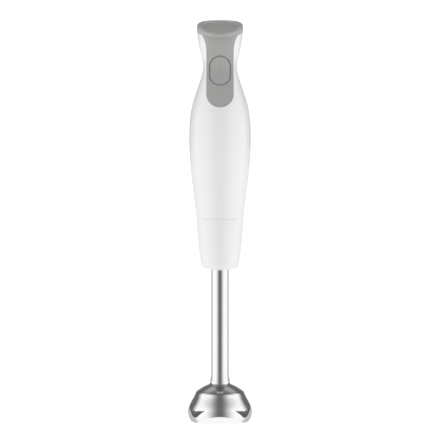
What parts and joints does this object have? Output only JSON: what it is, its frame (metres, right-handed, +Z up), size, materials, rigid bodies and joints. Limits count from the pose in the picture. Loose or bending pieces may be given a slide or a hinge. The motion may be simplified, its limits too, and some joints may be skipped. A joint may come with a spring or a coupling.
{
  "type": "immersion blender",
  "caption": "Hand-held immersion blender: waisted motor body with grip panel, start button and tilted cap, and a screw-off steel foot with a bell guard and bent blade.",
  "frame": {"origin": "on the drive axis, at the level that the bell's feet stand on", "axes": "+Z up along the drive axis, the grip panel and start button face -Y, +X to the right seen from the front"},
  "size_m": [0.0626, 0.0653, 0.3928],
  "materials": {
    "white_housing": "smooth gloss white",
    "grey_grip": "soft satin grey",
    "grey_button": "satin grey",
    "dark_seal": "soft matt dark grey",
    "gland_white": "smooth white",
    "polished_steel": "polished stainless steel",
    "blade_steel": "ground steel",
    "plain_steel": "turned steel",
    "spring_steel": "drawn wire",
    "black_rubber": "matt",
    "black_plastic": "moulded black",
    "natural_nylon": "natural nylon",
    "board_green": "solder mask",
    "capacitor_yellow": "epoxy case",
    "copper": "bare copper",
    "enamelled_copper": "enamelled wire",
    "core_steel": "varnished laminations",
    "zinc_can": "zinc plated",
    "ferrite": "sintered ferrite",
    "carbon": "pressed carbon",
    "bronze": "sintered bronze",
    "lead_red": "insulated wire"
  },
  "bodies": {
    "motor_unit": {"board_screws": "plain_steel", "brush_plate": "black_plastic", "brush_springs": "spring_steel", "button_seal": "dark_seal", "button_spring": "spring_steel", "capacitor": "capacitor_yellow", "carbon_brushes": "carbon", "circuit_board": "board_green", "cord_gland": "gland_white", "foot_socket": "white_housing", "front_housing": "white_housing", "grip_panel": "grey_grip", "housing_screw": "plain_steel", "lower_bearing": "bronze", "lower_damper": "black_rubber", "motor_base": "zinc_can", "motor_can": "zinc_can", "motor_leads": "lead_red", "motor_magnets": "ferrite", "rear_housing": "white_housing", "rectifier_diodes": "black_plastic", "screw_plug": "white_housing", "socket_seal": "black_rubber", "switch_body": "black_plastic", "switch_carrier": "black_plastic", "top_cap": "grey_grip", "upper_bearing": "bronze", "upper_damper": "black_rubber"},
    "rotor": {"rotor_shaft": "plain_steel", "armature_core": "core_steel", "armature_windings": "enamelled_copper", "commutator": "copper", "cooling_fan": "natural_nylon", "drive_dog": "natural_nylon"},
    "button": {"start_button": "grey_button"},
    "lever": {"switch_lever": "spring_steel"},
    "washer": {"thrust_washer": "natural_nylon"},
    "foot": {"foot_collar": "white_housing", "shaft_tube": "polished_steel", "bell": "polished_steel", "upper_bush": "bronze", "lower_bush": "bronze", "blade_seal": "black_rubber"},
    "blade_drive": {"blade_shaft": "plain_steel", "drive_cup": "natural_nylon", "shaft_clip": "spring_steel", "blade": "blade_steel", "blade_nut": "blade_steel"}
  },
  "joints": [
    {"name": "rotor_spin", "type": "hinge", "parent": "motor_unit", "child": "rotor", "pos_m": [0, 0, 0.24], "axis": [0, 0, 1], "continuous": true},
    {"name": "button_press", "type": "slide", "parent": "motor_unit", "child": "button", "axis": [0, 1, 0], "range_m": [0, 0.0025], "stiffness_N_per_m": 800, "springref_m": -0.002, "deforming": ["button_spring"]},
    {"name": "lever_swing", "type": "hinge", "parent": "motor_unit", "child": "lever", "pos_m": [0, -0.0022, 0.3277], "axis": [-1, 0, 0], "range_deg": [-1, 15.32]},
    {"name": "foot_back_out", "type": "slide", "parent": "motor_unit", "child": "washer", "axis": [0, 0, -1], "range_m": [0, 0.03]},
    {"name": "foot_twist", "type": "hinge", "parent": "washer", "child": "foot", "pos_m": [0, 0, 0], "axis": [0, 0, -1], "range_deg": [-1, 271]},
    {"name": "blade_spin", "type": "hinge", "parent": "washer", "child": "blade_drive", "pos_m": [0, 0, 0], "axis": [0, 0, 1], "continuous": true}
  ],
  "couplings": [
    {"joint": "lever_swing", "follows": "button_press", "rad_per_m": 100},
    {"joint": "foot_twist", "follows": "foot_back_out", "rad_per_m": 157.08},
    {"joint": "blade_spin", "follows": "rotor_spin", "ratio": 1}
  ]
}
